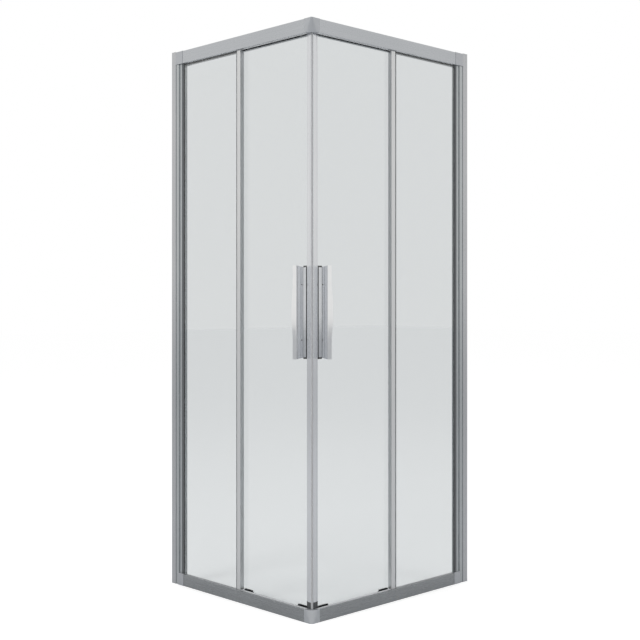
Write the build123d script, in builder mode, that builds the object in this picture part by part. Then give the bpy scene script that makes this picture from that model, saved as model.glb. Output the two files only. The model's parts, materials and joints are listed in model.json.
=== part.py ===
"""Corner-entry shower enclosure: two fixed glass panels and two sliding glass doors in an aluminium frame.

Millimetres, +Z up. The origin is on the floor, where the centre planes of the two sides' rails cross.
The right side runs along +X and the left side along +Y, so the bather enters from (-X, -Y).
Every piece of a side is drawn for the right side, and mirrored about the diagonal for the left one.
"""
import os

from build123d import *

os.makedirs("parts", exist_ok=True)

# Overall sizes
height = 1950.0  # wall channels, from the floor to their tops
side_width = 770.0  # outer corner to the wall, alike on both sides
rail_depth = 44.0  # outer face to inner face of the frame
rail_drop = 2.0  # the rails end this far below the tops of the wall channels
top_rail_height = 46.0
bottom_rail_height = 42.0
wall = 1.6  # aluminium wall of the sections
rail_edge_radius = 3.0  # the top rail's upper edges
rail_lip_radius = 0.7  # the rails' other outer edges

# Clearances
slide_gap = 0.2  # between pieces that slide or are pushed together
run_gap = 0.05  # radial, on axles and screws
meet_gap = 0.3  # between faces of two moving pieces that come together

# Glass
glass = 6.0
fixed_setback = 8.0  # frame's outer face to the outer face of the fixed glass
door_setback = 23.0  # frame's outer face to the outer face of the door glass
gasket = 1.0  # gasket beside the fixed glass
glass_bite = 17.0  # depth of fixed glass inside a rail
glass_seat = 2.0  # upright edge of the fixed glass to the bottom of its pocket

# Wall channel and jamb
channel_leg = 24.0
wall_hole_radius = 3.0
wall_hole_inset = 100.0  # first and last wall hole, from the channel's ends
wall_hole_count = 4
jamb_face = 17.0  # jamb showing beside the wall channel
jamb_overlap = 16.0  # jamb standing inside the wall channel
pocket_length = 14.0  # the jamb's glazing pocket
gasket_lip = 9.0  # dark gasket showing beyond the pocket
gasket_lip_thickness = 1.6

# End caps over the joints of rail and jamb
cap_skin = 1.0
top_cap_length = 41.0
bottom_cap_length = 32.0

# Corner connectors
corner_reach = 36.0  # length showing along each side
corner_edge_radius = 5.0  # upright corner edge, at the top connector's top
corner_foot_radius = 12.0  # the same edge, at the bottom connector's foot
corner_flare_radius = 35.0  # the same edge, where a connector meets the doors
corner_plate = 4.0  # roof or floor of a connector
tongue_length = 30.0
tongue_height = 20.0

# Fixed glass's free edge and the door's rear edge
fixed_panel = 395.0  # wall to the free edge of the fixed panel
fixed_strip_width = 18.0
door_overlap = 28.0  # rear edge of the closed door past the fixed panel's free edge
door_strip_width = 10.0
strip_wall = 1.2
fin = 0.9  # thickness of a wiping fin

# Closing stile, magnetic seal and foot
stile_setback = 18.0  # frame's outer face to the stile's outer face
stile_face = 14.0  # flat outer face of the stile
stile_width = 23.0
stile_thickness = 13.0
stile_step = 3.0  # the lip beside the face is set back by this
stile_wall = 1.6
stile_nose = 5.0  # along the side, from the diagonal to the stile's bevel
stile_glass_gap = 14.0  # along the side, from the stile's front to the glass edge
foot_top = 62.0
foot_bottom = 24.0
foot_plug = 12.0  # the foot's plug inside the stile

# Doors
door_glass_bottom = 30.0
door_bite = 28.0  # height of door glass inside the top rail
front_roller_inset = 78.0  # outer corner to the front rollers
rear_roller_inset = 45.0  # rear edge of the closed door to the rear rollers

# Top rollers and their track
track_centre = 35.5  # frame's outer face to the middle of both tracks
bead = 1.8
bead_height = 3.2
top_shelf = 10.8
groove_play = 0.2  # beside the bead, at the root of a wheel's groove
groove_flare = 0.9  # how much wider the groove is at the rim
roller_radius = 11.0
roller_groove_radius = 8.5
roller_width = 7.6
axle_radius = 3.0
axle_head_radius = 4.2
axle_head = 1.0
bush_radius = 5.8
bush_flange_radius = 8.0
bush_flange = 2.4
eccentric = 2.0  # axle above the bush, for levelling the door
roller_cap_radius = 10.0
roller_cap = 3.0
roller_cap_bore = 2.2
roller_cap_edge = 0.8

# Lower carriages, release sliders and guide wheels
carriage_length = 43.0
carriage_height = 10.4
carriage_depth = 9.4
carriage_skin = 1.8
carriage_web = 2.4
carriage_floor_skin = 1.6
slider_length = 40.0
slider_depth = 6.2
slider_rise = 5.0  # button above the carriage, and its travel
slider_head = 8.0
slider_stem = 14.0
slider_stem_thickness = 1.8
slider_glass_gap = 1.6
slider_edge = 1.0
wheel_radius = 7.5
wheel_groove_radius = 5.8
wheel_width = 5.6
wheel_level = 15.0
wheel_axle_radius = 2.5
wheel_axle_head_radius = 3.6
wheel_axle_head = 0.8
guide_height = 26.0  # the bottom rail's inner wall

# Door stops
stop_length = 12.0
stop_height = 20.0
open_stop_inset = 84.7  # jamb to the near face of the stop that the open door meets

# Handles
handle_length = 304.0
handle_level = 1000.0  # centre of the handle
handle_position = 56.0  # outer corner to the handle's near face
handle_standoff = 40.0  # proud of the door glass
handle_wall = 8.0
handle_rim = 17.0
handle_rim_thickness = 5.0
handle_foot = 7.0  # the foot's reach towards the stile
handle_foot_thickness = 3.0
handle_taper = 6.0  # each end is this much shorter at the glass
handle_edge = 1.4
grip_bow_length = 184.0
grip_bow = 8.0
grip_bow_thickness = 3.0
grip_bow_inset = 1.0  # behind the rim's face
handle_post_spacing = 180.0
handle_post_radius = 2.0
handle_post_depth = 20.0
post_head_radius = 3.6
post_head = 2.2
post_end_gap = 0.3
glass_hole_clearance = 1.0
grub_radius = 2.5
grub_length = 1.5
grub_recess = 0.3
grub_socket = 1.3
grub_socket_depth = 0.8
grub_standoff = 15.0  # proud of the door glass
inner_grip_rise = 13.0
inner_grip_width = 20.0
inner_grip_plate = 3.0
inner_grip_wall = 4.0
inner_grip_rim = 7.0
inner_grip_rim_thickness = 3.0
inner_grip_edge = 1.0

# Screws of the frame
screw_radius = 1.5
screw_head_radius = 3.0
screw_head = 2.0
rail_screw_length = 16.0
short_screw_length = 5.0
screw_hole_gap = 0.2
screw_port = 5.2  # height of a rail's screw port
screw_port_inset = 3.0  # its middle, from the roof or floor of its chamber
access_gap = 0.6  # round a screw's head
jamb_screw_inset = 200.0
jamb_screw_count = 3

# Places that follow from the sizes
outer = -rail_depth / 2
inner = rail_depth / 2
wall_x = side_width + outer
rail_top = height - rail_drop
rail_under = rail_top - top_rail_height
fixed_y = outer + fixed_setback
slot_y = fixed_y - gasket
slot_end_y = fixed_y + glass + gasket
rib_y = slot_end_y + wall
door_y = outer + door_setback
door_back_y = door_y + glass
corner_x = outer + corner_reach
track_y = outer + track_centre
shelf_y = inner - wall - top_shelf
shelf_z = rail_under + wall
jamb_web_x = wall_x - channel_leg - jamb_face
jamb_pocket_x = jamb_web_x - pocket_length
jamb_end_x = wall_x - channel_leg + jamb_overlap
jamb_half = inner - wall - slide_gap
jamb_screw_x = (wall_x - channel_leg + jamb_end_x) / 2
rail_end_x = jamb_web_x - slide_gap
fixed_strip_x = wall_x - fixed_panel
fixed_glass_x = fixed_strip_x + strip_wall
fixed_glass_end_x = jamb_web_x - glass_seat
fixed_bottom = bottom_rail_height - glass_bite
fixed_top = rail_under + glass_bite
upright_z = bottom_rail_height + slide_gap
upright_length = rail_under - slide_gap - upright_z
port_y = (slot_y + slot_end_y) / 2
top_chamber = fixed_top + gasket + wall
bottom_chamber = fixed_bottom - gasket - wall
top_ports = [top_chamber + screw_port_inset, rail_top - wall - screw_port_inset]
bottom_ports = [wall + screw_port_inset, bottom_chamber - screw_port_inset]
top_tongue = sum(top_ports) / 2
bottom_tongue = sum(bottom_ports) / 2
tongue_y = outer + wall + slide_gap
tongue_end_y = slot_y - wall - slide_gap
corner_screw_x = corner_x + tongue_length / 2
door_end_x = fixed_strip_x + door_overlap
door_glass_top = rail_under + door_bite
front_x = outer + front_roller_inset
rear_x = door_end_x - rear_roller_inset
closed_stop_x = front_x - roller_radius - meet_gap - stop_length
open_stop_x = jamb_web_x - open_stop_inset
roller_level = shelf_z + bead_height + slide_gap + roller_groove_radius
bush_level = roller_level - eccentric
roller_end_y = track_y + roller_width / 2 + slide_gap
wheel_end_y = track_y + wheel_width / 2 + slide_gap
wheel_bead_z = wheel_level + wheel_groove_radius + slide_gap
stile_x = outer + stile_setback + stile_nose
stile_y = outer + stile_setback
stile_back_y = stile_y + stile_thickness
stile_end_x = stile_x + stile_width
door_glass_x = stile_x + stile_glass_gap
handle_x = outer + handle_position
handle_rim_y = door_y - handle_standoff
handle_foot_x = handle_x - handle_foot
post_x = handle_x + handle_wall / 2
post_levels = [handle_level - handle_post_spacing / 2, handle_level + handle_post_spacing / 2]
carriage_z = door_glass_bottom - carriage_web
carriage_top = carriage_z + carriage_height
slider_y = door_back_y + slider_glass_gap
slider_top = carriage_top + slider_rise
slider_axle_y = slider_y + slider_stem_thickness
diagonal = Plane(origin=(0, 0, 0), z_dir=(1, -1, 0))


def strip(x0, x1, y0, y1, mode=Mode.ADD):
    """One straight wall of a section, between two corners, in the sketch being drawn."""
    with Locations(((x0 + x1) / 2, (y0 + y1) / 2)):
        Rectangle(x1 - x0, y1 - y0, mode=mode)


def block(x0, x1, y0, y1, z0, z1, mode=Mode.ADD):
    """A straight run of material or of air, between two corners, in the part being made."""
    with BuildSketch(Plane.XY.offset(z0)) as footprint:
        strip(x0, x1, y0, y1)
    extrude(footprint.sketch, amount=z1 - z0, mode=mode)


def rod(plane, radius, length, mode=Mode.ADD):
    """A round length of material or of air, along a plane's normal."""
    with BuildSketch(plane) as circle:
        Circle(radius)
    extrude(circle.sketch, amount=length, mode=mode)


def across(x, y, z):
    """A plane whose normal runs through the right side, from outside to inside."""
    return Plane(origin=(x, y, z), x_dir=(1, 0, 0), z_dir=(0, 1, 0))


def along(x, y, z):
    """A plane whose normal runs along the right side, from the corner to the wall."""
    return Plane(origin=(x, y, z), x_dir=(0, 1, 0), z_dir=(1, 0, 0))


def screw(seat, length):
    """A pan-head screw on its seat, whose normal points out of the head."""
    rod(seat, screw_head_radius, screw_head)
    rod(seat, screw_radius, -length)


def spaced(first, last, count):
    """Evenly spaced places from the first to the last."""
    return [first + (last - first) * i / (count - 1) for i in range(count)]


def write(piece, name):
    """Labels a finished piece and writes its file."""
    piece.part.label = name
    export_step(piece.part, f"parts/{name}.step")


def write_pair(piece, name):
    """Writes the right side's piece, and its mirror image for the left side."""
    write(piece, f"right_{name}")
    with BuildPart() as left_piece:
        mirror(piece.part, about=diagonal)
    write(left_piece, f"left_{name}")


def write_both(piece, name):
    """Writes one group that holds the right side's solids and their mirror images."""
    with BuildPart() as both:
        add(piece.part)
        mirror(piece.part, about=diagonal)
    write(both, name)


# Wall channel and jamb
wall_hole_levels = spaced(wall_hole_inset, height - wall_hole_inset, wall_hole_count)
jamb_screw_levels = spaced(jamb_screw_inset, height - jamb_screw_inset, jamb_screw_count)

with BuildPart() as wall_channel:
    with BuildSketch():
        strip(wall_x - channel_leg, wall_x, outer, inner)
        strip(wall_x - channel_leg, wall_x - wall, outer + wall, inner - wall, Mode.SUBTRACT)
    extrude(amount=height)
    for level in wall_hole_levels:
        rod(along(wall_x - wall, 0, level), wall_hole_radius, wall, Mode.SUBTRACT)
    for level in jamb_screw_levels:
        rod(across(jamb_screw_x, inner - wall, level), screw_radius + screw_hole_gap, wall, Mode.SUBTRACT)
write_pair(wall_channel, "wall_channel")

with BuildPart() as jamb:
    with BuildSketch():
        strip(jamb_web_x, jamb_end_x, -jamb_half, jamb_half)
        strip(jamb_web_x + wall, jamb_end_x, wall - jamb_half, jamb_half - wall, Mode.SUBTRACT)
    extrude(amount=rail_top - meet_gap)
    # the glazing pocket stands between the rails
    with BuildSketch(Plane.XY.offset(upright_z)):
        strip(jamb_pocket_x, jamb_web_x, slot_y - wall, rib_y)
        strip(jamb_pocket_x, jamb_web_x, slot_y, slot_end_y, Mode.SUBTRACT)
    extrude(amount=upright_length)
    for level in top_ports + bottom_ports:
        rod(along(jamb_web_x, port_y, level), screw_radius + screw_hole_gap, wall, Mode.SUBTRACT)
    for level in jamb_screw_levels:
        rod(across(jamb_screw_x, jamb_half - wall, level), screw_radius + run_gap, wall, Mode.SUBTRACT)
write_pair(jamb, "jamb")


# Rails, with their glazing slot and their track
def finish_rail(ports, tongue_level):
    """Bores a rail's screw ports and corner screw hole, and mitres its end, where the inner walls meet."""
    for level in ports:
        rod(along(corner_x, port_y, level), screw_radius + run_gap, rail_end_x - corner_x, Mode.SUBTRACT)
    hole = across(corner_screw_x, slot_y - wall, tongue_level)
    access = across(corner_screw_x, slot_end_y, tongue_level)
    rod(hole, screw_radius + screw_hole_gap, wall, Mode.SUBTRACT)
    rod(access, screw_head_radius + access_gap, wall, Mode.SUBTRACT)
    split(bisect_by=Plane(origin=(meet_gap / 2, 0, 0), z_dir=(1, -1, 0)), keep=Keep.TOP)


with BuildPart() as top_rail:
    with BuildSketch(Plane.YZ.offset(corner_x)) as section:
        strip(outer, inner, rail_under, rail_top)
        fillet(section.vertices().group_by(Axis.Y)[-1], rail_edge_radius)
        fillet(section.vertices().group_by(Axis.Y)[0], rail_lip_radius)
        # front chamber, glazing slot, screw chamber and roller chamber
        strip(outer + wall, slot_y - wall, rail_under + wall, rail_top - wall, Mode.SUBTRACT)
        strip(slot_y, slot_end_y, rail_under, fixed_top + gasket, Mode.SUBTRACT)
        strip(slot_y, slot_end_y, top_chamber, rail_top - wall, Mode.SUBTRACT)
        strip(rib_y, inner - wall, rail_under + wall, rail_top - wall, Mode.SUBTRACT)
        strip(rib_y, shelf_y, rail_under, rail_under + wall, Mode.SUBTRACT)
        # the bead that the rollers ride on
        strip(track_y - bead / 2, track_y + bead / 2, shelf_z, shelf_z + bead_height)
        for level in top_ports:
            strip(slot_y, slot_end_y, level - screw_port / 2, level + screw_port / 2)
    extrude(amount=rail_end_x - corner_x)
    finish_rail(top_ports, top_tongue)
write_pair(top_rail, "top_rail")

with BuildPart() as bottom_rail:
    with BuildSketch(Plane.YZ.offset(corner_x)) as section:
        strip(outer, rib_y, 0, bottom_rail_height)
        fillet(section.vertices().group_by(Axis.X)[0], rail_lip_radius)
        strip(rib_y, inner, 0, guide_height)
        # front chamber, glazing slot, screw chamber, and the chamber that the guide wheels run in
        strip(outer + wall, slot_y - wall, wall, bottom_rail_height - wall, Mode.SUBTRACT)
        strip(slot_y, slot_end_y, fixed_bottom - gasket, bottom_rail_height, Mode.SUBTRACT)
        strip(slot_y, slot_end_y, wall, bottom_chamber, Mode.SUBTRACT)
        strip(rib_y, inner - wall, wall, guide_height - wall, Mode.SUBTRACT)
        strip(rib_y, track_y - bead / 2, guide_height - wall, guide_height, Mode.SUBTRACT)
        # the bead that holds the guide wheels down
        strip(track_y - bead / 2, track_y + bead / 2, wheel_bead_z, guide_height)
        for level in bottom_ports:
            strip(slot_y, slot_end_y, level - screw_port / 2, level + screw_port / 2)
    extrude(amount=rail_end_x - corner_x)
    finish_rail(bottom_ports, bottom_tongue)
write_pair(bottom_rail, "bottom_rail")


# End caps over the joints of rail and jamb
def rail_outline(plane, grow):
    """The top rail's outline, or that of a skin over it, open below."""
    with BuildSketch(plane) as outline:
        strip(outer - grow, inner + grow, rail_under, rail_top + grow)
        fillet(outline.vertices().group_by(Axis.Y)[-1], rail_edge_radius + grow)
    return outline.sketch


with BuildPart() as top_end_cap:
    cap_plane = Plane.YZ.offset(wall_x - channel_leg - slide_gap - top_cap_length)
    extrude(rail_outline(cap_plane, cap_skin), amount=top_cap_length)
    extrude(rail_outline(cap_plane, 0), amount=top_cap_length, mode=Mode.SUBTRACT)
write_pair(top_end_cap, "top_end_cap")

with BuildPart() as bottom_end_cap:
    with BuildSketch(Plane.YZ.offset(jamb_web_x - bottom_cap_length)) as section:
        strip(outer - cap_skin, slot_y - wall, 0, bottom_rail_height + cap_skin)
        fillet(section.vertices().group_by(Axis.X)[0].sort_by(Axis.Y)[-1], cap_skin)
        strip(outer, slot_y - wall, 0, bottom_rail_height, Mode.SUBTRACT)
    extrude(amount=bottom_cap_length)
write_pair(bottom_end_cap, "bottom_end_cap")


# Corner connectors, whose upright edge flares towards the doors
def corner_outline(level, radius):
    """A connector's outline at one level, with its upright outer edge rounded."""
    with BuildSketch(Plane.XY.offset(level)) as outline:
        strip(outer, corner_x, outer, corner_x)
        fillet(outline.vertices().sort_by(Axis((0, 0, 0), (1, 1, 0)))[0], radius)
    return outline.sketch


def corner_tongues(middle):
    """The tongues that slide into the two rails' front chambers, with their screw holes."""
    low = middle - tongue_height / 2
    high = middle + tongue_height / 2
    tongue = tongue_end_y - tongue_y
    hole = screw_radius + run_gap
    block(corner_x, corner_x + tongue_length, tongue_y, tongue_end_y, low, high)
    block(tongue_y, tongue_end_y, corner_x, corner_x + tongue_length, low, high)
    rod(across(corner_screw_x, tongue_y, middle), hole, tongue, Mode.SUBTRACT)
    rod(along(tongue_y, corner_screw_x, middle), hole, tongue, Mode.SUBTRACT)


with BuildPart() as top_corner:
    loft([corner_outline(rail_under, corner_flare_radius), corner_outline(rail_top, corner_edge_radius)])
    block(rib_y, corner_x, rib_y, corner_x, rail_under, rail_top - corner_plate, Mode.SUBTRACT)
    corner_tongues(top_tongue)
write(top_corner, "top_corner")

with BuildPart() as bottom_corner:
    loft([corner_outline(0, corner_foot_radius), corner_outline(bottom_rail_height, corner_flare_radius)])
    block(rib_y, corner_x, rib_y, corner_x, corner_plate, bottom_rail_height, Mode.SUBTRACT)
    corner_tongues(bottom_tongue)
write(bottom_corner, "bottom_corner")


# Screws of the frame
with BuildPart() as rail_screws:
    for level in top_ports + bottom_ports:
        screw(along(jamb_web_x + wall, port_y, level), rail_screw_length)
write_both(rail_screws, "rail_screws")

with BuildPart() as short_screws:
    for level in jamb_screw_levels:
        screw(across(jamb_screw_x, inner, level), short_screw_length)
    for level in [top_tongue, bottom_tongue]:
        screw(across(corner_screw_x, slot_y, level), short_screw_length)
write_both(short_screws, "short_screws")


# Fixed glass, its gaskets and the strip on its free edge
with BuildPart() as fixed_glass:
    block(fixed_glass_x, fixed_glass_end_x, fixed_y, fixed_y + glass, fixed_bottom, fixed_top)
write_pair(fixed_glass, "fixed_glass")

with BuildPart() as glazing_gaskets:
    # upright, in the jamb's pocket, with the lip that shows
    with BuildSketch(Plane.XY.offset(upright_z)):
        lip_x = jamb_pocket_x - gasket_lip
        lip_y = fixed_y - gasket_lip_thickness
        lip_end_y = fixed_y + glass + gasket_lip_thickness
        strip(jamb_pocket_x, fixed_glass_end_x + gasket, slot_y, slot_end_y)
        strip(lip_x, jamb_pocket_x, lip_y, lip_end_y)
        strip(lip_x, fixed_glass_end_x, fixed_y, fixed_y + glass, Mode.SUBTRACT)
    extrude(amount=upright_length)
    # level, in the slots of the two rails
    with BuildSketch(Plane.YZ.offset(fixed_glass_x)):
        strip(slot_y, slot_end_y, rail_under, fixed_top + gasket)
        strip(slot_y, slot_end_y, fixed_bottom - gasket, bottom_rail_height)
        strip(fixed_y, fixed_y + glass, fixed_bottom, fixed_top, Mode.SUBTRACT)
    extrude(amount=fixed_glass_end_x - fixed_glass_x)
write_pair(glazing_gaskets, "glazing_gaskets")

with BuildPart() as fixed_strip:
    with BuildSketch(Plane.XY.offset(upright_z)):
        strip_end_x = fixed_strip_x + fixed_strip_width
        strip_back_y = fixed_y + glass + strip_wall
        strip(fixed_strip_x, strip_end_x, fixed_y - strip_wall, strip_back_y)
        strip(fixed_glass_x, strip_end_x, fixed_y, fixed_y + glass, Mode.SUBTRACT)
        # the fin that wipes the door
        strip(fixed_strip_x, fixed_strip_x + fin, strip_back_y, door_y - slide_gap)
    extrude(amount=upright_length)
write_pair(fixed_strip, "fixed_strip")

with BuildPart() as door_stops:
    for x in [closed_stop_x, open_stop_x]:
        block(x, x + stop_length, shelf_y + slide_gap, inner - wall, shelf_z, shelf_z + stop_height)
    # saddle over the bead
    saddle = bead / 2 + slide_gap
    saddle_z = shelf_z + bead_height + slide_gap
    for x in [closed_stop_x, open_stop_x]:
        block(x, x + stop_length, track_y - saddle, track_y + saddle, shelf_z, saddle_z, Mode.SUBTRACT)
write_pair(door_stops, "door_stops")


# Doors: glass, closing stile, foot, magnetic seal and rear strip
with BuildPart() as door_glass:
    block(door_glass_x, door_end_x - strip_wall, door_y, door_back_y, door_glass_bottom, door_glass_top)
    for x in [front_x, rear_x]:
        rod(across(x, door_y, bush_level), bush_radius + slide_gap, glass, Mode.SUBTRACT)
    for level in post_levels:
        hole = across(post_x, door_y, level)
        rod(hole, handle_post_radius + glass_hole_clearance, glass, Mode.SUBTRACT)
write_pair(door_glass, "door_glass")


def stile_outline(level):
    """The closing stile's outline: a flat face, a lip set back beside it, and a bevel for the seal."""
    step_y = stile_y + stile_step
    face_end_x = stile_x + stile_face
    with BuildSketch(Plane.XY.offset(level)) as outline:
        with BuildLine():
            Polyline(
                (stile_x, stile_y),
                (face_end_x, stile_y),
                (face_end_x + stile_step, step_y),
                (stile_end_x, step_y),
                (stile_end_x, stile_back_y),
                (stile_back_y + stile_nose, stile_back_y),
                close=True,
            )
        make_face()
    return outline.sketch


def stile_chamber(level, shrink):
    """The hollow between the stile's face, its bevel and the glass, or the plug that fits it."""
    bevel = stile_nose + stile_wall * 2**0.5 + shrink
    chamber_y = stile_y + stile_wall + shrink
    chamber_x = door_glass_x - stile_wall - shrink
    with BuildSketch(Plane.XY.offset(level)) as chamber:
        with BuildLine():
            Polyline(
                (chamber_y + bevel, chamber_y),
                (chamber_x, chamber_y),
                (chamber_x, chamber_x - bevel),
                close=True,
            )
        make_face()
    return chamber.sketch


with BuildPart() as closing_stile:
    stile_length = door_glass_top - foot_top
    extrude(stile_outline(foot_top), amount=stile_length)
    extrude(stile_chamber(foot_top, 0), amount=stile_length, mode=Mode.SUBTRACT)
    block(door_glass_x, stile_end_x, door_y, door_back_y, foot_top, door_glass_top, Mode.SUBTRACT)
write_pair(closing_stile, "closing_stile")

with BuildPart() as stile_foot:
    extrude(stile_outline(foot_bottom), amount=foot_top - foot_bottom)
    block(door_glass_x, stile_end_x, door_y, door_back_y, door_glass_bottom, foot_top, Mode.SUBTRACT)
    extrude(stile_chamber(foot_top, slide_gap), amount=foot_plug)
write_pair(stile_foot, "stile_foot")

with BuildPart() as magnetic_seal:
    with BuildSketch(Plane.XY.offset(foot_bottom)):
        with BuildLine():
            Polyline(
                (stile_y + meet_gap / 2, stile_y),
                (stile_y + stile_nose, stile_y),
                (stile_back_y + stile_nose, stile_back_y),
                (stile_back_y + meet_gap / 2, stile_back_y),
                close=True,
            )
        make_face()
    extrude(amount=door_glass_top - foot_bottom)
write_pair(magnetic_seal, "magnetic_seal")

with BuildPart() as rear_strip:
    with BuildSketch(Plane.XY.offset(upright_z)):
        rear_strip_x = door_end_x - door_strip_width
        strip(rear_strip_x, door_end_x, door_y - strip_wall, door_back_y + strip_wall)
        strip(rear_strip_x, door_end_x - strip_wall, door_y, door_back_y, Mode.SUBTRACT)
        # the fin that wipes the fixed glass
        strip(door_end_x - fin, door_end_x, fixed_y + glass + slide_gap, door_y - strip_wall)
    extrude(amount=upright_length)
write_pair(rear_strip, "rear_strip")


# Top rollers, each on an eccentric bush through the glass
with BuildPart() as roller_axles:
    for x in [front_x, rear_x]:
        flange_y = door_back_y + bush_flange
        rod(across(x, door_y, bush_level), bush_radius, glass)
        rod(across(x, door_back_y, bush_level), bush_flange_radius, bush_flange)
        rod(across(x, door_y, bush_level), axle_radius, -(roller_cap_bore - slide_gap))
        rod(across(x, flange_y, roller_level), axle_radius, roller_end_y - flange_y)
        rod(across(x, roller_end_y, roller_level), axle_head_radius, axle_head)
write_pair(roller_axles, "roller_axles")

with BuildPart() as roller_caps:
    for x in [front_x, rear_x]:
        rod(across(x, door_y - roller_cap, bush_level), roller_cap_radius, roller_cap)
    rims = roller_caps.edges().filter_by(GeomType.CIRCLE).group_by(Axis.Y)[0]
    chamfer(rims, roller_cap_edge)
    for x in [front_x, rear_x]:
        rod(across(x, door_y, bush_level), axle_radius + run_gap, -roller_cap_bore, Mode.SUBTRACT)
write_pair(roller_caps, "roller_caps")


def grooved_wheel(x, level, radius, groove_radius, width, axle):
    """A grooved wheel on an axle through the side, which the track's bead runs in."""
    bore = axle + run_gap
    root = bead / 2 + groove_play
    rim = root + groove_flare
    with BuildSketch(Plane.YZ.offset(x)) as profile:
        with BuildLine():
            Polyline(
                (track_y - width / 2, level + bore),
                (track_y - width / 2, level + radius),
                (track_y - rim, level + radius),
                (track_y - root, level + groove_radius),
                (track_y + root, level + groove_radius),
                (track_y + rim, level + radius),
                (track_y + width / 2, level + radius),
                (track_y + width / 2, level + bore),
                close=True,
            )
        make_face()
    revolve(profile.sketch, axis=Axis((x, 0, level), (0, 1, 0)))


with BuildPart() as front_roller:
    grooved_wheel(front_x, roller_level, roller_radius, roller_groove_radius, roller_width, axle_radius)
write_pair(front_roller, "front_roller")

with BuildPart() as rear_roller:
    grooved_wheel(rear_x, roller_level, roller_radius, roller_groove_radius, roller_width, axle_radius)
write_pair(rear_roller, "rear_roller")

# Lower carriages, clamped on the glass's lower edge
with BuildPart() as carriages:
    for x in [front_x, rear_x]:
        x0 = x - carriage_length / 2
        x1 = x + carriage_length / 2
        carriage_end_y = door_back_y + carriage_depth
        block(x0, x1, door_y - carriage_skin, carriage_end_y, carriage_z, carriage_top)
        block(x0, x1, door_y, door_back_y, door_glass_bottom, carriage_top, Mode.SUBTRACT)
        # pocket for the button, and the slot that its stem passes
        pocket = slider_length / 2 + slide_gap
        slot = slider_stem / 2 + slide_gap
        near_y = slider_y - slide_gap
        far_y = slider_y + slider_depth + slide_gap
        stem_y = slider_axle_y + slide_gap
        pocket_z = carriage_z + carriage_floor_skin
        block(x - pocket, x + pocket, near_y, far_y, pocket_z, carriage_top, Mode.SUBTRACT)
        block(x - slot, x + slot, near_y, stem_y, carriage_z, pocket_z, Mode.SUBTRACT)
write_pair(carriages, "carriages")


def release_slider(x):
    """A release slider: a button, a stem with a round end, and the axle that carries the guide wheel."""
    button = slider_length / 2
    button_z = slider_top - slider_head
    stem = slider_stem / 2
    block(x - button, x + button, slider_y, slider_y + slider_depth, button_z, slider_top)
    block(x - stem, x + stem, slider_y, slider_axle_y, wheel_level, button_z)
    rod(across(x, slider_y, wheel_level), stem, slider_stem_thickness)
    rod(across(x, slider_axle_y, wheel_level), wheel_axle_radius, wheel_end_y - slider_axle_y)
    rod(across(x, wheel_end_y, wheel_level), wheel_axle_head_radius, wheel_axle_head)


with BuildPart() as front_release:
    release_slider(front_x)
    fillet(front_release.edges().group_by(Axis.Z)[-1], slider_edge)
write_pair(front_release, "front_release")

with BuildPart() as rear_release:
    release_slider(rear_x)
    fillet(rear_release.edges().group_by(Axis.Z)[-1], slider_edge)
write_pair(rear_release, "rear_release")

with BuildPart() as front_wheel:
    grooved_wheel(front_x, wheel_level, wheel_radius, wheel_groove_radius, wheel_width, wheel_axle_radius)
write_pair(front_wheel, "front_wheel")

with BuildPart() as rear_wheel:
    grooved_wheel(rear_x, wheel_level, wheel_radius, wheel_groove_radius, wheel_width, wheel_axle_radius)
write_pair(rear_wheel, "rear_wheel")

# Outer handle: a foot on the glass, a wall, and a rim that the fingers hook behind
handle_bottom = handle_level - handle_length / 2
handle_top = handle_level + handle_length / 2
handle_far_x = handle_x + handle_rim
with BuildPart() as handle:
    with BuildSketch(Plane.XY.offset(handle_bottom)) as section:
        strip(handle_x, handle_x + handle_wall, handle_rim_y, door_y)
        strip(handle_x, handle_far_x, handle_rim_y, handle_rim_y + handle_rim_thickness)
        fillet(section.vertices().group_by(Axis.Y)[0], handle_edge)
        strip(handle_foot_x, handle_x, door_y - handle_foot_thickness, door_y)
    extrude(amount=handle_length)
    # the bowed flank that the fingers pull on
    with BuildSketch(across(0, handle_rim_y + grip_bow_inset, handle_level)):
        with BuildLine():
            near = handle_far_x - handle_edge
            ThreePointArc((near, -grip_bow_length / 2), (near + grip_bow, 0), (near, grip_bow_length / 2))
            Line((near, grip_bow_length / 2), (near, -grip_bow_length / 2))
        make_face()
    extrude(amount=grip_bow_thickness)
    # both ends slope towards the glass
    for end, side in [(handle_top, 1), (handle_bottom, -1)]:
        slope = Plane(
            origin=(0, handle_rim_y, end),
            x_dir=(1, 0, 0),
            z_dir=(0, handle_taper, side * handle_standoff),
        )
        split(bisect_by=slope, keep=Keep.BOTTOM)
    for level in post_levels:
        post = across(post_x, door_y, level)
        grub = along(handle_x, door_y - grub_standoff, level)
        rod(post, handle_post_radius + run_gap, -handle_post_depth, Mode.SUBTRACT)
        rod(grub, grub_radius + run_gap, handle_wall / 2, Mode.SUBTRACT)
write_pair(handle, "handle")

with BuildPart() as inner_grip:
    grip_y = door_back_y + inner_grip_rise
    with BuildSketch(Plane.XY.offset(handle_bottom)) as section:
        strip(handle_foot_x, handle_foot_x + inner_grip_wall, door_back_y, grip_y)
        strip(handle_foot_x, handle_foot_x + inner_grip_rim, grip_y - inner_grip_rim_thickness, grip_y)
        fillet(section.vertices().group_by(Axis.Y)[-1], inner_grip_edge)
        strip(handle_foot_x, handle_foot_x + inner_grip_width, door_back_y, door_back_y + inner_grip_plate)
    extrude(amount=handle_length)
    for level in post_levels:
        hole = across(post_x, door_back_y, level)
        rod(hole, handle_post_radius + run_gap, inner_grip_plate, Mode.SUBTRACT)
write_pair(inner_grip, "inner_grip")

with BuildPart() as handle_posts:
    for level in post_levels:
        seat_y = door_back_y + inner_grip_plate
        post = across(post_x, seat_y, level)
        rod(post, post_head_radius, post_head)
        rod(post, handle_post_radius, door_y - handle_post_depth + post_end_gap - seat_y)
write_pair(handle_posts, "handle_posts")

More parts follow.
